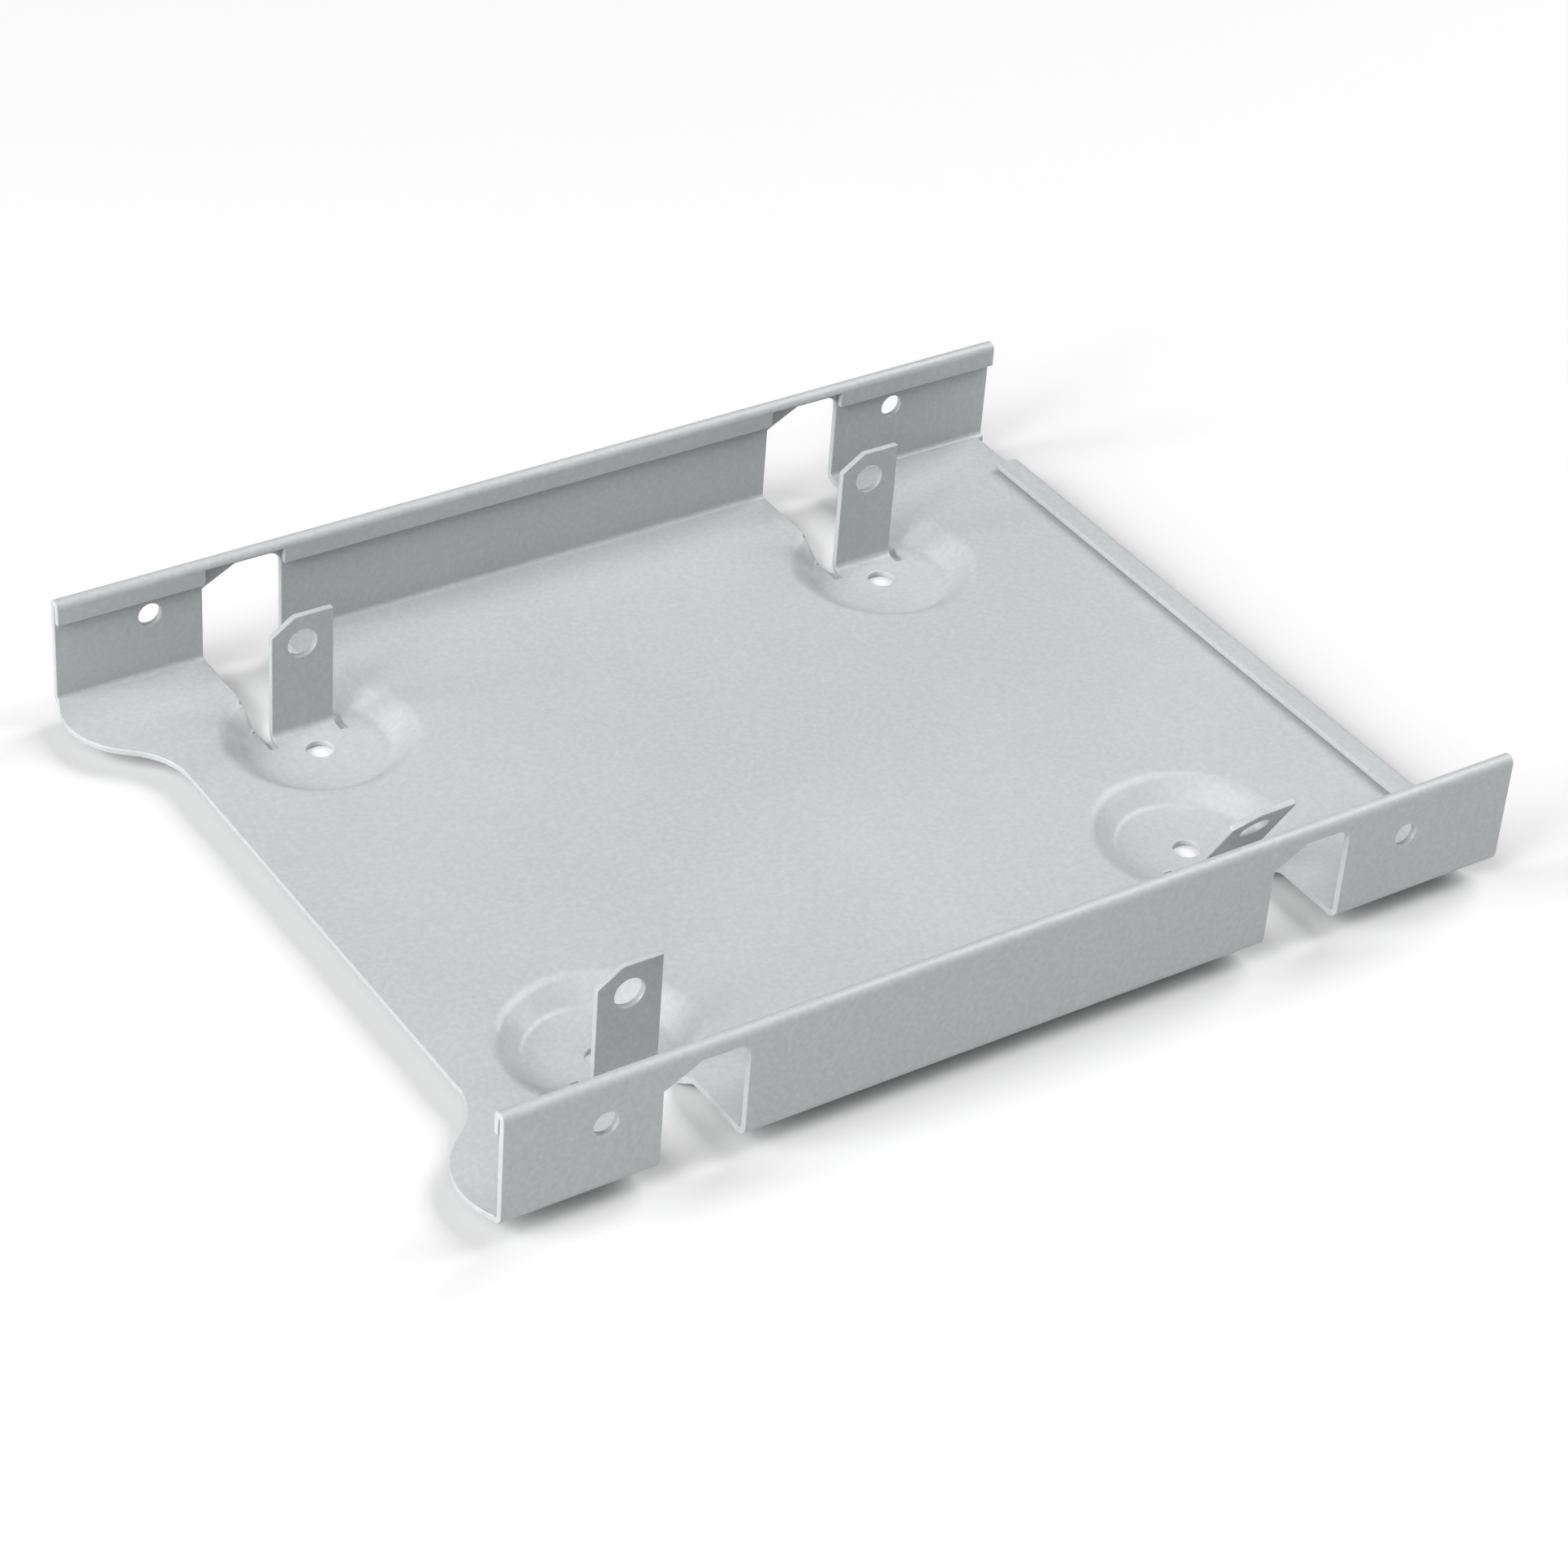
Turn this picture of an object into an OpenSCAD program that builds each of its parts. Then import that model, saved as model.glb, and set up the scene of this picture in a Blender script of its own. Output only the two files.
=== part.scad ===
// Drive holder: a folded sheet steel tray that carries a 2.5 in drive in a 3.5 in drive bay.
// X runs along the drive, Y across it, Z up. The origin is under the middle of the overall box,
// at the level of the surface the tray stands on. The rounded ears are at the low X end.

/* [Sheet and overall size] */
// Sheet thickness
sheet_t = 0.8; // [0.7:0.1:1.1]
// Width over the outer faces of the two side flanges, a 3.5 in drive's width
bay_w = 101.6; // [100:0.1:104]
// Length of each side flange
flange_l = 127.9; // [126:0.1:135]
// Height of the flange tops above the standing surface
flange_top = 16.7; // [16.3:0.1:19]
// Inside radius of the flange bends
flange_bend_r = 0.6; // [0.4:0.1:1.1]

/* [Ears at the open end] */
// Radius of both arcs of an ear's outline
ear_r = 9.2; // [8.5:0.1:10]
// How far an ear reaches out past the flange ends
ear_reach = 1.1; // [0.6:0.1:1.6]
// How far the plate's straight edge lies inside the flange ends
edge_setback = 6.7; // [5.5:0.1:7.5]

/* [Folded edges] */
// Height of the edge folded down inside each flange top
flange_hem = 3.0; // [2.2:0.1:3.3]
// Depth of the edge folded over the plate at the closed end
plate_hem = 3.3; // [2.5:0.1:5]
// Gap left between the layers of a folded edge
hem_gap = 0.2; // [0.1:0.05:0.3]
// Distance from a flange's outer face to the end of the plate's folded edge
hem_relief = 9.0; // [4:0.5:14]

/* [Drive holes] */
// Distance between the two drive holes along the drive
drive_hole_dx = 76.6; // [76.6:0.1:77]
// Distance between the two rows of holes under the drive
drive_hole_dy = 61.72; // [61.5:0.01:62]
// Distance from the flanges' open end to the first pair of drive holes
drive_hole_x = 23.4; // [22:0.1:25]
// Diameter of the holes under the drive
floor_hole_d = 3.2; // [3:0.1:4]
// Diameter of the holes in the tabs
tab_hole_d = 3.6; // [3.2:0.1:4]
// Height of the tab holes above the standing surface
tab_hole_z = 12.7; // [12:0.1:13]

/* [Bay holes] */
// Distance between the two bay holes of a flange
bay_hole_dx = 101.6; // [101:0.1:102]
// Distance from the flanges' open end to the first bay hole
bay_hole_x = 11.8; // [11:0.1:12.5]
// Height of the bay holes above the standing surface
bay_hole_z = 11.2; // [10:0.1:11.6]
// Diameter of the bay holes, which suits a bay screw's own thread
bay_hole_d = 2.8; // [2.6:0.1:3.6]

/* [Pressed recesses] */
// Depth of the recesses, which also lifts the plate off the standing surface
recess_depth = 2.4; // [2:0.1:2.8]
// Radius at which a recess starts to leave the plate
recess_r = 11.8; // [11:0.1:12.5]
// Slope of the recess wall in degrees
wall_slope = 40; // [35:1:50]
// Inside radius of the two bends in a recess wall
wall_bend_r = 1.4; // [1:0.1:1.6]

/* [Tabs] */
// Gap between opposite tabs, a 2.5 in drive's width and a little room
tab_gap = 70.2; // [70:0.1:71]
// Width of a tab
tab_w = 7.8; // [7:0.1:8.4]
// Height of an upright tab's tip above the standing surface
tab_top = 16.4; // [15.8:0.1:17]
// Inside radius of the bend at a tab's foot
tab_bend_r = 0.8; // [0.5:0.1:1]
// Width of the slanted corner of a tab
tab_corner_w = 3.0; // [2:0.1:3.4]
// Height of the slanted corner of a tab
tab_corner_h = 2.0; // [1:0.1:2.4]
// Bend angle of an upright tab in degrees
tab_angle = 90; // [88:1:92]
// Bend angle of the tab that has been pushed outward, in degrees
pushed_tab_angle = 60; // [50:1:90]

/* [Windows] */
// Width of the windows the tabs are cut from
window_w = 10.0; // [9.4:0.1:11]
// Height of the window tops above the standing surface
window_top = 14.9; // [14.2:0.1:15.1]
// Width of the slanted upper corner of a window
window_corner_w = 4.2; // [3:0.1:5]
// Height of the slanted upper corner of a window
window_corner_h = 2.2; // [1:0.1:2.4]
// Radius of the other upper corner of a window
window_corner_r = 1.6; // [1:0.1:2]
// How far the slits beside a tab run past its bend
slit_extra = 1.1; // [0.6:0.1:1.4]

/* [Hidden] */
$fn = 36;
round_fn = 60;
outline_fn = 120;
cut_room = 5;
root_overlap = 0.3;
half_w = bay_w / 2;
length = flange_l + ear_reach;
closed_end = length / 2;
open_end = closed_end - flange_l;
plate_z = recess_depth;
plate_top = plate_z + sheet_t;
flange_outer_r = flange_bend_r + sheet_t;
flange_h = flange_top - plate_z;
hem_r = sheet_t + hem_gap / 2;
bend_line = half_w - flange_outer_r;
ear_x = open_end + ear_r - ear_reach;
ear_y = sqrt(pow(ear_r, 2) - pow(ear_r - ear_reach, 2)) - bend_line;
edge_x = open_end + edge_setback;
notch_x = edge_x - ear_r;
notch_y = ear_y + sqrt(pow(2 * ear_r, 2) - pow(ear_x - notch_x, 2));
touch_x = (ear_x + notch_x) / 2;
wall_outer_r = wall_bend_r + sheet_t;
wall_arcs = wall_outer_r + wall_bend_r;
wall_drop = recess_depth - wall_arcs * (1 - cos(wall_slope));
wall_l = wall_drop / sin(wall_slope);
recess_floor_r = recess_r - wall_arcs * sin(wall_slope) - wall_l * cos(wall_slope);
tab_bend_y = tab_bend_r - tab_gap / 2;
tab_bend_z = sheet_t + tab_bend_r;
tab_l = tab_top - tab_bend_z;
tab_hole_l = tab_hole_z - tab_bend_z;
near_x = open_end + drive_hole_x;
far_x = near_x + drive_hole_dx;
bay_x = open_end + bay_hole_x;
paint = [0.80, 0.82, 0.83];

// A quarter ring of sheet: one right angle bend seen along its fold
module quarter_ring(inner_r, outer_r) {
    intersection() {
        difference() {
            circle(outer_r);
            circle(inner_r);
        }
        square(outer_r);
    }
}

// One side flange seen along its length, with its bend, its folded top edge and half the plate
module half_section() {
    translate([flange_outer_r, 0]) {
        square([bend_line, sheet_t]);
    }
    translate([flange_outer_r, flange_outer_r]) {
        rotate(180) {
            quarter_ring(flange_bend_r, flange_outer_r);
        }
    }
    translate([0, flange_outer_r]) {
        square([sheet_t, flange_h - flange_outer_r - hem_r]);
    }
    translate([hem_r, flange_h - hem_r]) {
        quarter_ring(hem_gap / 2, hem_r);
        rotate(90) {
            quarter_ring(hem_gap / 2, hem_r);
        }
    }
    translate([sheet_t + hem_gap, flange_h - flange_hem]) {
        square([sheet_t, flange_hem - hem_r]);
    }
}

// The whole folded channel seen along its length
module channel_section() {
    translate([-half_w, 0]) {
        half_section();
    }
    translate([half_w, 0]) {
        mirror([1, 0]) {
            half_section();
        }
    }
}

// Outline of one rounded ear and of the flange end beside it
module ear_outline() {
    translate([open_end, -half_w]) {
        square([ear_r, flange_outer_r]);
    }
    intersection() {
        translate([ear_x, ear_y]) {
            circle(ear_r, $fn = outline_fn);
        }
        translate([open_end - ear_reach, -bend_line]) {
            square([2 * ear_r, 2 * ear_r]);
        }
    }
    difference() {
        translate([touch_x, ear_y]) {
            square([ear_r, notch_y - ear_y]);
        }
        translate([notch_x, notch_y]) {
            circle(ear_r, $fn = outline_fn);
        }
    }
}

// Everything at the open end that the blank does not keep
module open_end_cut() {
    difference() {
        translate([open_end - ear_reach - cut_room, -half_w - cut_room]) {
            square([ear_r + cut_room, bay_w + 2 * cut_room]);
        }
        ear_outline();
        mirror([0, 1]) {
            ear_outline();
        }
        translate([edge_x, notch_y]) {
            square([ear_r, -2 * notch_y]);
        }
    }
}

// The channel with its open end cut to shape and the plate ended where its edge folds over
module channel() {
    difference() {
        translate([open_end - ear_reach, 0, plate_z]) {
            rotate([90, 0, 90]) {
                linear_extrude(length) {
                    channel_section();
                }
            }
        }
        linear_extrude(flange_top + cut_room) {
            open_end_cut();
        }
        translate([open_end - cut_room, -half_w - cut_room, plate_top + flange_bend_r]) {
            cube([cut_room, bay_w + 2 * cut_room, flange_top]);
        }
        translate([closed_end - hem_r, -bend_line, 0]) {
            cube([cut_room, 2 * bend_line, plate_top + flange_bend_r]);
        }
    }
}

// The edge folded back over the plate at the closed end
module plate_fold() {
    translate([closed_end - hem_r, half_w - hem_relief, plate_z + hem_r]) {
        rotate([90, 0, 0]) {
            linear_extrude(bay_w - 2 * hem_relief) {
                quarter_ring(hem_gap / 2, hem_r);
                rotate(-90) {
                    quarter_ring(hem_gap / 2, hem_r);
                }
                translate([hem_r - plate_hem, hem_gap / 2]) {
                    square([plate_hem - hem_r, sheet_t]);
                }
            }
        }
    }
}

// Half the room under one face of a recess: its two radii are those of the face's bends
module under_face(valley_r, crest_r, floor_z) {
    valley_z = sheet_t + wall_bend_r;
    crest_z = plate_z - wall_bend_r;
    difference() {
        polygon([
            [0, -cut_room],
            [0, floor_z],
            [recess_floor_r, floor_z],
            [recess_floor_r + valley_r * sin(wall_slope), valley_z - valley_r * cos(wall_slope)],
            [recess_r - crest_r * sin(wall_slope), crest_z + crest_r * cos(wall_slope)],
            [recess_r, crest_z + crest_r],
            [recess_r + root_overlap, crest_z + crest_r],
            [recess_r + root_overlap, -cut_room]
        ]);
        translate([recess_floor_r, valley_z]) {
            circle(valley_r);
        }
    }
    intersection() {
        translate([recess_r, crest_z]) {
            circle(crest_r);
        }
        translate([recess_r - crest_r, crest_z]) {
            square([crest_r, crest_r]);
        }
    }
}

// Half the section of one recess, from its axis out to the flat plate
module recess_section() {
    difference() {
        under_face(wall_bend_r, wall_outer_r, sheet_t);
        under_face(wall_outer_r, wall_bend_r, 0);
    }
}

// One pressed recess with the hole under the drive in its middle
module recess() {
    difference() {
        rotate_extrude($fn = round_fn) {
            recess_section();
        }
        translate([0, 0, -cut_room]) {
            cylinder(d = floor_hole_d, h = 2 * cut_room);
        }
    }
}

// Outline of a window in the flange, seen from outside the front flange
module window_outline() {
    polygon([
        [-window_w / 2, -cut_room],
        [window_w / 2, -cut_room],
        [window_w / 2, window_top - window_corner_r],
        [window_w / 2 - window_corner_r, window_top],
        [window_corner_w - window_w / 2, window_top],
        [-window_w / 2, window_top - window_corner_h]
    ]);
    translate([window_w / 2 - window_corner_r, window_top - window_corner_r]) {
        circle(window_corner_r);
    }
}

// The cut that frees a tab: a window through flange, plate and recess, with a slit each side
module window_cut() {
    slit_w = (window_w - tab_w) / 2;
    translate([0, tab_bend_y, 0]) {
        rotate([90, 0, 0]) {
            linear_extrude(half_w) {
                window_outline();
            }
        }
    }
    translate([-window_w / 2, sheet_t + hem_gap / 2 - half_w, plate_top]) {
        cube([window_w, cut_room, flange_top - hem_r - plate_top]);
    }
    for (x = [-window_w / 2, tab_w / 2]) {
        translate([x, tab_bend_y - cut_room, -cut_room]) {
            cube([slit_w, cut_room + slit_extra, plate_top + cut_room]);
        }
    }
}

// Outline of a flattened tab, from the end of its bend to its tip
module tab_outline() {
    difference() {
        polygon([
            [-tab_w / 2, 0],
            [tab_w / 2, 0],
            [tab_w / 2, tab_l],
            [tab_corner_w - tab_w / 2, tab_l],
            [-tab_w / 2, tab_l - tab_corner_h]
        ]);
        translate([0, tab_hole_l]) {
            circle(d = tab_hole_d);
        }
    }
}

// One tab bent up from the floor of its recess, drawn about the middle of its bend
module tab(bend_angle) {
    mirror([0, 1, 0]) {
        rotate([0, 90, 0]) {
            rotate_extrude(angle = bend_angle) {
                translate([tab_bend_r, -tab_w / 2]) {
                    square([sheet_t, tab_w]);
                }
            }
        }
    }
    translate([-tab_w / 2, 0, -tab_bend_z]) {
        cube([tab_w, root_overlap, sheet_t]);
    }
    rotate([-bend_angle, 0, 0]) {
        translate([0, 0, -tab_bend_z]) {
            mirror([0, 1, 0]) {
                linear_extrude(sheet_t) {
                    tab_outline();
                }
            }
        }
    }
}

// The holes of one flange that screws pass through from the side of the bay
module bay_hole_cut() {
    for (x = [bay_x, bay_x + bay_hole_dx]) {
        translate([x, -half_w - cut_room, bay_hole_z]) {
            rotate([-90, 0, 0]) {
                cylinder(d = bay_hole_d, h = 2 * cut_room);
            }
        }
    }
}

// The sheet with its folds and recesses, before any window or hole is cut
module blank() {
    difference() {
        channel();
        for (x = [near_x, far_x], y = [-drive_hole_dy / 2, drive_hole_dy / 2]) {
            translate([x, y, 0]) {
                cylinder(r = recess_r, h = flange_top, $fn = round_fn);
            }
        }
    }
    for (x = [near_x, far_x], y = [-drive_hole_dy / 2, drive_hole_dy / 2]) {
        translate([x, y, 0]) {
            recess();
        }
    }
    plate_fold();
}

// The complete holder: one folded sheet
module drive_tray() {
    color(paint) {
        difference() {
            blank();
            for (side = [0, 1]) {
                mirror([0, side, 0]) {
                    bay_hole_cut();
                    for (x = [near_x, far_x]) {
                        translate([x, 0, 0]) {
                            window_cut();
                        }
                    }
                }
            }
        }
        for (side = [0, 1]) {
            mirror([0, side, 0]) {
                translate([near_x, tab_bend_y, tab_bend_z]) {
                    tab(tab_angle);
                }
            }
        }
        translate([far_x, tab_bend_y, tab_bend_z]) {
            tab(pushed_tab_angle);
        }
        mirror([0, 1, 0]) {
            translate([far_x, tab_bend_y, tab_bend_z]) {
                tab(tab_angle);
            }
        }
    }
}

drive_tray();
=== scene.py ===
"""Drive holder: one folded sheet of painted steel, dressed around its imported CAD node.

Metres throughout, in the frame of the CAD part. The node keeps its place and its mesh. Modifiers soften its
edges, and the script adds a procedural paint, a pale floor, studio light and the photograph's camera.
"""

import math

import bpy
from mathutils import Matrix, Vector

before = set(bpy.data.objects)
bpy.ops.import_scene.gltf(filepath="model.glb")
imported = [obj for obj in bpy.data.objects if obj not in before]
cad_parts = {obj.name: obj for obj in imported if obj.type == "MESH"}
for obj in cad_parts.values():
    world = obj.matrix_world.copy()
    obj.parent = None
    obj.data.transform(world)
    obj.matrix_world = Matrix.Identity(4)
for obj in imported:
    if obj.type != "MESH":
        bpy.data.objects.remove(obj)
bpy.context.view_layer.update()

MM = 0.001

# Camera, fitted to the photograph
IMAGE_SIDE_PX = 1932
FOCAL_LENGTH_PX = 5363.3
SENSOR_MM = 36.0
CAMERA_PLACE = Vector((-0.22879, -0.32468, 0.28932))
AZIMUTH = math.radians(-35.48)
ELEVATION = math.radians(35.84)
ROLL = math.radians(4.58)
NEAREST_SEEN = 0.01
FARTHEST_SEEN = 20.0

# Studio: the sky's colour is linear RGBA, and each softbox has its place and its watts
SKY_COLOUR = (1, 1, 1, 1)
SKY_STRENGTH = 0.04
SOFTBOX_SIDE = 0.9
SOFTBOXES = {
    "left_light": ((-1.12, -0.05, 0.60), 24),
    "right_light": ((0.90, 0.00, 0.90), 16),
    "front_light": ((-0.65, -0.65, 0.90), 6),
}
FLOOR_HALF_SIDE = 3.0
FLOOR_COLOUR = (0.70, 0.70, 0.70, 1)
FLOOR_ROUGHNESS = 0.9

# Sheet edges
EDGE_ROUNDING = 0.14 * MM
EDGE_SEGMENTS = 2
EDGE_ANGLE = math.radians(38)
WELD_DISTANCE = 0.01 * MM
FLAT_ANGLE = math.radians(0.1)

# Paint: its greys in linear RGBA and its index of refraction
PAINT = (0.403, 0.419, 0.425, 1)
PAINT_DARK = (0.380, 0.396, 0.402, 1)
# The pale grey serves the speckle and the paler edges, which are partly rubbed paint and partly a painted
# highlight
PALE_PAINT_AND_EDGE_HIGHLIGHT = (0.530, 0.540, 0.545, 1)
PAINT_IOR = 1.5

# Patterns in the paint, as noise cells to the metre and octaves of detail
CLOUDS = (28, 4)
SPECKLE = (1500, 2)
STREAKS = (45, 3)
EDGE_BREAKS = (320, 4)
UNEVENNESS = (24, 1)
ORANGE_PEEL = (850, 3)
STREAK_SQUEEZE = (1, 14, 14)

# The grey levels of a pattern between which it comes in
CLOUD_LEVELS = (0.30, 0.70)
SPECKLE_LEVELS = (0.35, 0.75)
STREAK_LEVELS = (0.60, 0.78)
EDGE_BREAK_LEVELS = (0.40, 0.62)

# What the patterns do to the paint
SPECKLE_SHARE = (0, 0.35)
CLOUD_ROUGHNESS = (0.36, 0.46)
STREAK_ROUGHNESS = (0, 0.10)
UNEVENNESS_STRENGTH = 1.0
UNEVENNESS_DEPTH = 0.05 * MM
PEEL_STRENGTH = 0.55
PEEL_DEPTH = 0.012 * MM

# Paler edges, partly rubbed paint and partly a painted highlight: how far in they reach, how alike the
# rounded surface's direction and the true one are from a plain face to a full edge, how much of them shows
# between the breaks, and what they do to colour and metal
EDGE_MASK_REACH = 0.45 * MM
EDGE_MASK_SAMPLES = 4
EDGE_MASK_LIKENESS = (0.99, 0.88)
EDGE_MASK_BREAK_SHARE = (0.15, 1)
EDGE_WEAR_AND_HIGHLIGHT_SHARE = 0.55
EDGE_METAL_SHARE = 0.35

WHOLE_RANGE = (0, 1)

# Sockets of a colour mix, by number, because they share their names with other kinds of mix
MIX_FIRST = 6
MIX_SECOND = 7
MIX_RESULT = 2


def feed(tree, source, socket):
    """Links the source to the socket, or sets the socket where the source is a plain value."""
    if isinstance(source, bpy.types.NodeSocket):
        tree.links.new(source, socket)
    else:
        socket.default_value = source


def new_node(tree, kind, **values):
    """A shader node with its sockets fed and its settings set by name."""
    node = tree.nodes.new(kind)
    for name, value in values.items():
        if name in node.inputs:
            feed(tree, value, node.inputs[name])
        else:
            setattr(node, name, value)
    return node


def noise(tree, place, pattern):
    """Grey noise over that place, with the pattern's cells to the metre and octaves."""
    cells, octaves = pattern
    return new_node(tree, "ShaderNodeTexNoise", Vector=place, Scale=cells, Detail=octaves).outputs["Fac"]


def spread(tree, value, levels, result):
    """That value stretched from its levels to the result's span, and kept inside it."""
    ends = {"From Min": levels[0], "From Max": levels[1], "To Min": result[0], "To Max": result[1]}
    return new_node(tree, "ShaderNodeMapRange", Value=value, **ends).outputs["Result"]


def blend(tree, factor, first, second):
    """A mix of two colours, each a fixed colour or a socket."""
    node = new_node(tree, "ShaderNodeMix", data_type="RGBA", Factor=factor)
    feed(tree, first, node.inputs[MIX_FIRST])
    feed(tree, second, node.inputs[MIX_SECOND])
    return node.outputs[MIX_RESULT]


def arithmetic(tree, operation, first, second):
    """One sum or product, each side of it a number or a socket."""
    node = new_node(tree, "ShaderNodeMath", operation=operation)
    feed(tree, first, node.inputs[0])
    feed(tree, second, node.inputs[1])
    return node.outputs["Value"]


def worn_and_highlit_edges(tree, place):
    """A mask of the sheared and folded edges, broken up as handling leaves them, for paler edges that are
    partly rubbed paint and partly a painted highlight.
    """
    rounded = new_node(tree, "ShaderNodeBevel", samples=EDGE_MASK_SAMPLES, Radius=EDGE_MASK_REACH)
    surface = new_node(tree, "ShaderNodeNewGeometry")
    likeness = new_node(tree, "ShaderNodeVectorMath", operation="DOT_PRODUCT")
    feed(tree, rounded.outputs["Normal"], likeness.inputs[0])
    feed(tree, surface.outputs["Normal"], likeness.inputs[1])
    edge = spread(tree, likeness.outputs["Value"], EDGE_MASK_LIKENESS, WHOLE_RANGE)
    breaks = spread(tree, noise(tree, place, EDGE_BREAKS), EDGE_BREAK_LEVELS, EDGE_MASK_BREAK_SHARE)
    return arithmetic(tree, "MULTIPLY", edge, breaks)


def paint_colour(tree, place, clouds, edge_wear_and_highlight):
    """Two greys in soft clouds, with a fine pale speckle and paler edges, partly rubbed paint and partly a
    painted highlight.
    """
    tint = blend(tree, spread(tree, clouds, CLOUD_LEVELS, WHOLE_RANGE), PAINT_DARK, PAINT)
    grain = spread(tree, noise(tree, place, SPECKLE), SPECKLE_LEVELS, SPECKLE_SHARE)
    speckled = blend(tree, grain, tint, PALE_PAINT_AND_EDGE_HIGHLIGHT)
    # Paler edges: partly rubbed paint, partly a painted edge highlight
    return blend(tree, arithmetic(tree, "MULTIPLY", edge_wear_and_highlight, EDGE_WEAR_AND_HIGHLIGHT_SHARE), speckled, PALE_PAINT_AND_EDGE_HIGHLIGHT)


def paint_roughness(tree, place, clouds):
    """Satin gloss that follows the clouds, duller in faint streaks along the tray."""
    squeezed = new_node(tree, "ShaderNodeMapping", Vector=place, Scale=STREAK_SQUEEZE).outputs["Vector"]
    streaks = spread(tree, noise(tree, squeezed, STREAKS), STREAK_LEVELS, STREAK_ROUGHNESS)
    gloss = spread(tree, clouds, CLOUD_LEVELS, CLOUD_ROUGHNESS)
    return arithmetic(tree, "ADD", gloss, streaks)


def paint_relief(tree, place):
    """The sheet's slight unevenness, with the paint's orange peel over it."""
    uneven = new_node(
        tree,
        "ShaderNodeBump",
        Strength=UNEVENNESS_STRENGTH,
        Distance=UNEVENNESS_DEPTH,
        Height=noise(tree, place, UNEVENNESS),
    )
    peel = new_node(
        tree,
        "ShaderNodeBump",
        Strength=PEEL_STRENGTH,
        Distance=PEEL_DEPTH,
        Height=noise(tree, place, ORANGE_PEEL),
        Normal=uneven.outputs["Normal"],
    )
    return peel.outputs["Normal"]


def painted_steel(material):
    """Satin grey paint on sheet steel."""
    material.use_nodes = True
    tree = material.node_tree
    tree.nodes.clear()
    place = new_node(tree, "ShaderNodeTexCoord").outputs["Object"]
    clouds = noise(tree, place, CLOUDS)
    edge_wear_and_highlight = worn_and_highlit_edges(tree, place)
    shader = new_node(
        tree,
        "ShaderNodeBsdfPrincipled",
        IOR=PAINT_IOR,
        Metallic=arithmetic(tree, "MULTIPLY", edge_wear_and_highlight, EDGE_METAL_SHARE),
        Roughness=paint_roughness(tree, place, clouds),
        Normal=paint_relief(tree, place),
    )
    feed(tree, paint_colour(tree, place, clouds, edge_wear_and_highlight), shader.inputs["Base Color"])
    new_node(tree, "ShaderNodeOutputMaterial", Surface=shader.outputs["BSDF"])


def soften_edges(sheet):
    """Rounds the sharp edges of the sheet a little, as deburring and paint do."""
    weld = sheet.modifiers.new("weld", "WELD")
    weld.merge_threshold = WELD_DISTANCE
    merge = sheet.modifiers.new("one_face_per_plane", "DECIMATE")
    merge.decimate_type = "DISSOLVE"
    merge.angle_limit = FLAT_ANGLE
    bevel = sheet.modifiers.new("edge_rounding", "BEVEL")
    bevel.width = EDGE_ROUNDING
    bevel.segments = EDGE_SEGMENTS
    bevel.limit_method = "ANGLE"
    bevel.angle_limit = EDGE_ANGLE
    bevel.use_clamp_overlap = False
    sheet.modifiers.new("flat_faces_stay_flat", "WEIGHTED_NORMAL")


def add_object(name, data):
    """A new object in the scene, made of that data."""
    piece = bpy.data.objects.new(name, data)
    bpy.context.scene.collection.objects.link(piece)
    return piece


def add_floor():
    """A wide plain floor under the tray, without gloss."""
    reach = FLOOR_HALF_SIDE
    corners = [(-reach, -reach, 0), (reach, -reach, 0), (reach, reach, 0), (-reach, reach, 0)]
    mesh = bpy.data.meshes.new("floor")
    mesh.from_pydata(corners, [], [(0, 1, 2, 3)])
    material = bpy.data.materials.new("floor")
    material.use_nodes = True
    shader = material.node_tree.nodes["Principled BSDF"]
    shader.inputs["Base Color"].default_value = FLOOR_COLOUR
    shader.inputs["Roughness"].default_value = FLOOR_ROUGHNESS
    shader.inputs["Specular IOR Level"].default_value = 0.0
    mesh.materials.append(material)
    add_object("floor", mesh)


def add_softbox(name, place, watts):
    """A square area light at that place, turned to the tray."""
    light = bpy.data.lights.new(name, "AREA")
    light.shape = "SQUARE"
    light.size = SOFTBOX_SIDE
    light.energy = watts
    lamp = add_object(name, light)
    lamp.location = place
    lamp.rotation_euler = (-Vector(place)).to_track_quat("-Z", "Y").to_euler()


def add_light():
    """A strong softbox on the left, a weaker one on the right, a touch from the front and a faint sky."""
    world = bpy.data.worlds.new("studio")
    world.use_nodes = True
    background = world.node_tree.nodes["Background"]
    background.inputs["Color"].default_value = SKY_COLOUR
    background.inputs["Strength"].default_value = SKY_STRENGTH
    bpy.context.scene.world = world
    for name, (place, watts) in SOFTBOXES.items():
        add_softbox(name, place, watts)


def add_camera():
    """The photograph's camera."""
    back = Vector((
        math.sin(AZIMUTH) * math.cos(ELEVATION),
        -math.cos(AZIMUTH) * math.cos(ELEVATION),
        math.sin(ELEVATION),
    ))
    level = Vector((math.cos(AZIMUTH), math.sin(AZIMUTH), 0))
    right = Matrix.Rotation(ROLL, 3, back) @ level
    up = back.cross(right)
    pose = Matrix((right, up, back)).transposed().to_4x4()
    pose.translation = CAMERA_PLACE
    data = bpy.data.cameras.new("camera")
    data.sensor_width = SENSOR_MM
    data.lens = FOCAL_LENGTH_PX / IMAGE_SIDE_PX * SENSOR_MM
    data.clip_start = NEAREST_SEEN
    data.clip_end = FARTHEST_SEEN
    camera = add_object("camera", data)
    camera.matrix_world = pose
    bpy.context.scene.camera = camera


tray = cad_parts["drive_tray"]
painted_steel(tray.data.materials[0])
soften_edges(tray)
add_floor()
add_light()
add_camera()
bpy.context.scene.view_settings.view_transform = "Standard"
